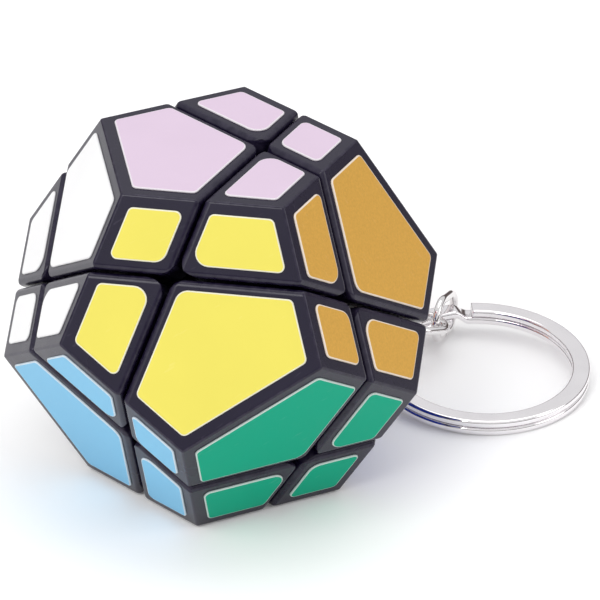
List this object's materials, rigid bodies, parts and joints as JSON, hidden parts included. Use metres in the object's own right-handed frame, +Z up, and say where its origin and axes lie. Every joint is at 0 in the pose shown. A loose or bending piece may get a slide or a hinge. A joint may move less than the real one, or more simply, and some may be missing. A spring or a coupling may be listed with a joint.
{
  "type": "dodecahedron twisty puzzle",
  "caption": "Keychain twisty puzzle: a stickered black dodecahedron cut through its centre into corner and ridge pieces on an inner core, with a short chain and a split ring.",
  "frame": {"origin": "centre of the bottom face, on the surface it rests on", "axes": "+Z up, square to the bottom face; +X level, towards the split ring's side, in the mirror plane that holds the top face's crossing; +Y completes a right-handed set"},
  "size_m": [0.0695, 0.0502, 0.04],
  "materials": {
    "black_plastic": "satin moulded black, slightly purple",
    "foot_plastic": "moulded dark grey",
    "core_plastic": "moulded off-white",
    "screw_steel": "zinc plated",
    "washer_steel": "plain",
    "spring_steel": "drawn wire",
    "nickel": "polished nickel plating",
    "ring_nickel": "polished nickel plating",
    "vinyl_lavender": "satin vinyl",
    "vinyl_yellow": "satin vinyl",
    "vinyl_gold": "satin metallic vinyl",
    "vinyl_purple": "satin vinyl",
    "vinyl_orange": "satin vinyl",
    "vinyl_silver": "satin metallic vinyl",
    "vinyl_white": "satin vinyl",
    "vinyl_green": "satin vinyl",
    "vinyl_blue": "satin vinyl",
    "vinyl_red": "satin vinyl",
    "vinyl_navy": "satin vinyl",
    "vinyl_pink": "satin vinyl"
  },
  "bodies": {
    "fixed_half": {"core": "core_plastic", "screws": "screw_steel", "washers": "washer_steel", "springs": "spring_steel", "corner_shell_2": "black_plastic", "corner_shell_3": "black_plastic", "corner_shell_4": "black_plastic", "corner_shell_8": "black_plastic", "corner_foot_2": "foot_plastic", "corner_foot_3": "foot_plastic", "corner_foot_4": "foot_plastic", "corner_foot_8": "foot_plastic", "ridge_shell_4": "black_plastic", "ridge_shell_5": "black_plastic", "ridge_shell_6": "black_plastic", "ridge_foot_4": "foot_plastic", "ridge_foot_5": "foot_plastic", "ridge_foot_6": "foot_plastic", "stickers_purple": "vinyl_purple", "stickers_orange": "vinyl_orange", "stickers_silver": "vinyl_silver", "stickers_white_fixed": "vinyl_white", "stickers_green_fixed": "vinyl_green", "stickers_blue_fixed": "vinyl_blue", "stickers_red_fixed": "vinyl_red", "stickers_navy_fixed": "vinyl_navy", "stickers_pink_fixed": "vinyl_pink", "screw_eye": "nickel"},
    "turning_half": {"corner_shell_1": "black_plastic", "corner_shell_5": "black_plastic", "corner_shell_6": "black_plastic", "corner_shell_7": "black_plastic", "corner_foot_1": "foot_plastic", "corner_foot_5": "foot_plastic", "corner_foot_6": "foot_plastic", "corner_foot_7": "foot_plastic", "ridge_shell_1": "black_plastic", "ridge_shell_2": "black_plastic", "ridge_shell_3": "black_plastic", "ridge_foot_1": "foot_plastic", "ridge_foot_2": "foot_plastic", "ridge_foot_3": "foot_plastic", "stickers_lavender": "vinyl_lavender", "stickers_yellow": "vinyl_yellow", "stickers_gold": "vinyl_gold", "stickers_white_turning": "vinyl_white", "stickers_green_turning": "vinyl_green", "stickers_blue_turning": "vinyl_blue", "stickers_red_turning": "vinyl_red", "stickers_navy_turning": "vinyl_navy", "stickers_pink_turning": "vinyl_pink"},
    "link_1": {"link_1": "nickel"},
    "link_2": {"link_2": "nickel"},
    "link_3": {"link_3": "nickel"},
    "link_4": {"link_4": "nickel"},
    "split_ring": {"split_ring": "ring_nickel"}
  },
  "joints": [
    {"name": "half_turn", "type": "hinge", "parent": "fixed_half", "child": "turning_half", "pos_m": [0, 0, 0.02], "axis": [0.1876, -0.5773, 0.7947], "continuous": true},
    {"name": "link_1_swing", "type": "hinge", "parent": "fixed_half", "child": "link_1", "pos_m": [0.0218, 0.01584, 0.01339], "axis": [0.7988, 0.5802, 0.1588], "range_deg": [-30, 30]},
    {"name": "link_2_swing", "type": "hinge", "parent": "link_1", "child": "link_2", "pos_m": [0.0224, 0.01627, 0.00849], "axis": [-0.5857, 0.8106, -0.0031], "range_deg": [-45, 15]},
    {"name": "link_3_swing", "type": "hinge", "parent": "link_2", "child": "link_3", "pos_m": [0.02518, 0.01826, 0.00497], "axis": [-0.3305, -0.0795, -0.9404], "range_deg": [-20, 15]},
    {"name": "link_4_swing", "type": "hinge", "parent": "link_3", "child": "link_4", "pos_m": [0.02904, 0.02103, 0.00374], "axis": [-0.8829, 0.4695, 0], "range_deg": [-16, 10]},
    {"name": "ring_slide_round", "type": "hinge", "parent": "link_4", "child": "split_ring", "pos_m": [0.03251, 0.0129, 0.00182], "axis": [0.0085, -0.0692, 0.9976], "continuous": true}
  ]
}
